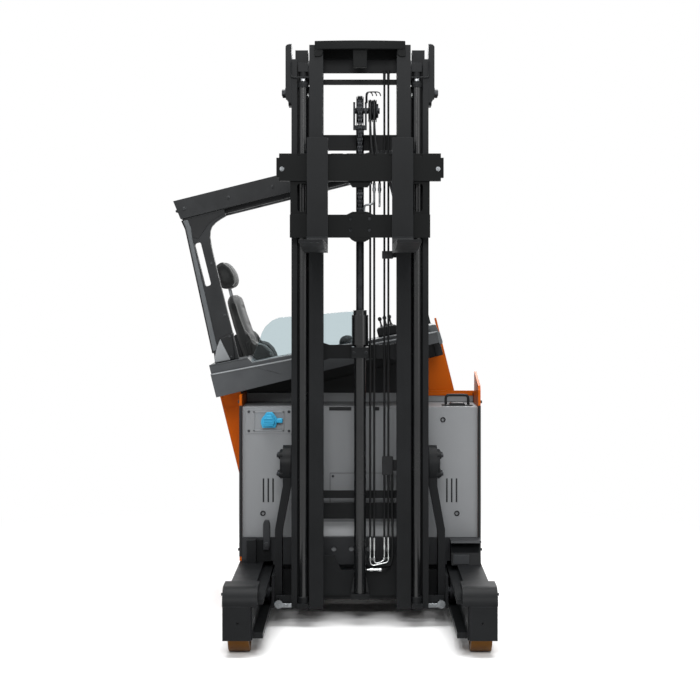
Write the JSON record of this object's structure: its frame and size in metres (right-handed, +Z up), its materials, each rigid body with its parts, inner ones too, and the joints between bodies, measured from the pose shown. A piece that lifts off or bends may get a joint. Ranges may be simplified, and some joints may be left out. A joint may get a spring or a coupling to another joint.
{
  "type": "reach truck with a tilting cab",
  "caption": "Electric reach truck with support legs, a retracting telescopic mast and fork carriage, and a side-facing cab that tilts towards the seat side.",
  "frame": {"origin": "on the floor under the middle of the bounding box in the pictured pose", "axes": "+Z up, forks towards -Y, +X to the open side of the cab"},
  "size_m": [1.6265, 2.52, 2.938],
  "materials": {
    "mast_paint": "semi-gloss charcoal paint",
    "frame_grey": "grey paint",
    "orange_paint": "gloss orange paint",
    "guard_paint": "dark grey paint",
    "battery_grey": "light grey paint",
    "casting_paint": "painted casting",
    "bright_steel": "ground steel",
    "chain_steel": "oiled chain steel",
    "brown_polyurethane": "cast polyurethane",
    "hose_rubber": "hose rubber",
    "black_plastic": "textured",
    "grey_plastic": "textured",
    "blue_plastic": "moulded",
    "seat_fabric": "woven",
    "clear_screen": "clear"
  },
  "bodies": {
    "chassis": {"support_legs": "mast_paint", "wheel_covers": "mast_paint", "load_axles": "bright_steel", "chassis_frame": "frame_grey", "side_panels": "orange_paint", "battery": "battery_grey", "battery_connector": "blue_plastic", "battery_handle": "black_plastic", "leg_brackets": "mast_paint", "counterweight": "casting_paint", "casting_deck": "frame_grey", "reach_barrel": "mast_paint"},
    "load_wheel_left": {"load_wheel_left": "brown_polyurethane"},
    "load_wheel_right": {"load_wheel_right": "brown_polyurethane"},
    "drive_unit": {"drive_unit": "casting_paint"},
    "drive_wheel": {"drive_wheel": "brown_polyurethane"},
    "reach_carriage": {"reach_frame": "mast_paint", "reach_arms": "mast_paint", "reach_rollers": "bright_steel", "reach_rod": "bright_steel"},
    "tilt_rods": {"tilt_rods": "bright_steel"},
    "outer_mast": {"outer_rails": "mast_paint", "outer_ties": "mast_paint", "lift_barrels": "mast_paint"},
    "middle_mast": {"middle_rails": "mast_paint", "middle_ties": "mast_paint", "lift_rods": "bright_steel"},
    "inner_mast": {"inner_rails": "mast_paint", "inner_ties": "mast_paint", "top_beam": "mast_paint", "free_lift_barrel": "mast_paint", "mast_hoses": "hose_rubber", "chain_rear": "chain_steel"},
    "free_lift": {"free_lift_rod": "chain_steel", "chain_sheave": "chain_steel"},
    "fork_carriage": {"carriage_bars": "mast_paint", "carriage_plates": "mast_paint", "carriage_rollers": "bright_steel", "chain_front": "chain_steel", "fork_left": "mast_paint", "fork_right": "mast_paint"},
    "cab": {"cab_tub": "orange_paint", "cab_floor": "black_plastic", "dash_frame": "black_plastic", "dash_tray": "grey_plastic", "windshield": "clear_screen", "front_post": "guard_paint", "guard_posts": "guard_paint", "guard_roof": "guard_paint", "seat_frame": "black_plastic", "seat_cushion": "seat_fabric", "seat_back": "seat_fabric", "rear_console": "grey_plastic", "steering_wheel": "black_plastic", "hand_controls": "black_plastic"}
  },
  "joints": [
    {"name": "load_spin_left", "type": "hinge", "parent": "chassis", "child": "load_wheel_left", "pos_m": [0.73892, -0.525, 0.1425], "axis": [1, 0, 0], "continuous": true},
    {"name": "load_spin_right", "type": "hinge", "parent": "chassis", "child": "load_wheel_right", "pos_m": [-0.39008, -0.525, 0.1425], "axis": [1, 0, 0], "continuous": true},
    {"name": "drive_steer", "type": "hinge", "parent": "chassis", "child": "drive_unit", "pos_m": [0.05442, 0.925, 0.2], "axis": [0, 0, 1], "range_deg": [-90, 90]},
    {"name": "drive_spin", "type": "hinge", "parent": "drive_unit", "child": "drive_wheel", "pos_m": [0.05442, 0.925, 0.175], "axis": [1, 0, 0], "continuous": true},
    {"name": "reach", "type": "slide", "parent": "chassis", "child": "reach_carriage", "axis": [0, -1, 0], "range_m": [0, 0.56]},
    {"name": "mast_tilt", "type": "hinge", "parent": "reach_carriage", "child": "outer_mast", "pos_m": [0.17442, 0.15, 0.806], "axis": [1, 0, 0], "range_deg": [-3, 2]},
    {"name": "tilt_rod_slide", "type": "slide", "parent": "reach_carriage", "child": "tilt_rods", "axis": [0, 1, 0], "range_m": [-0.04, 0.03]},
    {"name": "mast_lift", "type": "slide", "parent": "outer_mast", "child": "middle_mast", "axis": [0, 0, 1], "range_m": [0, 1.75]},
    {"name": "inner_lift", "type": "slide", "parent": "middle_mast", "child": "inner_mast", "axis": [0, 0, 1], "range_m": [0, 1.75]},
    {"name": "fork_lift", "type": "slide", "parent": "inner_mast", "child": "fork_carriage", "axis": [0, 0, 1], "range_m": [-1.8, 0]},
    {"name": "free_lift_slide", "type": "slide", "parent": "inner_mast", "child": "free_lift", "axis": [0, 0, 1], "range_m": [-0.9, 0]},
    {"name": "cab_tilt", "type": "hinge", "parent": "chassis", "child": "cab", "pos_m": [-0.40058, 0.9, 0.563], "axis": [0, -1, 0], "range_deg": [-14, 6]}
  ],
  "couplings": [
    {"joint": "tilt_rod_slide", "follows": "mast_tilt", "m_per_rad": 0.691},
    {"joint": "inner_lift", "follows": "mast_lift", "ratio": 1},
    {"joint": "free_lift_slide", "follows": "fork_lift", "ratio": 0.5}
  ]
}
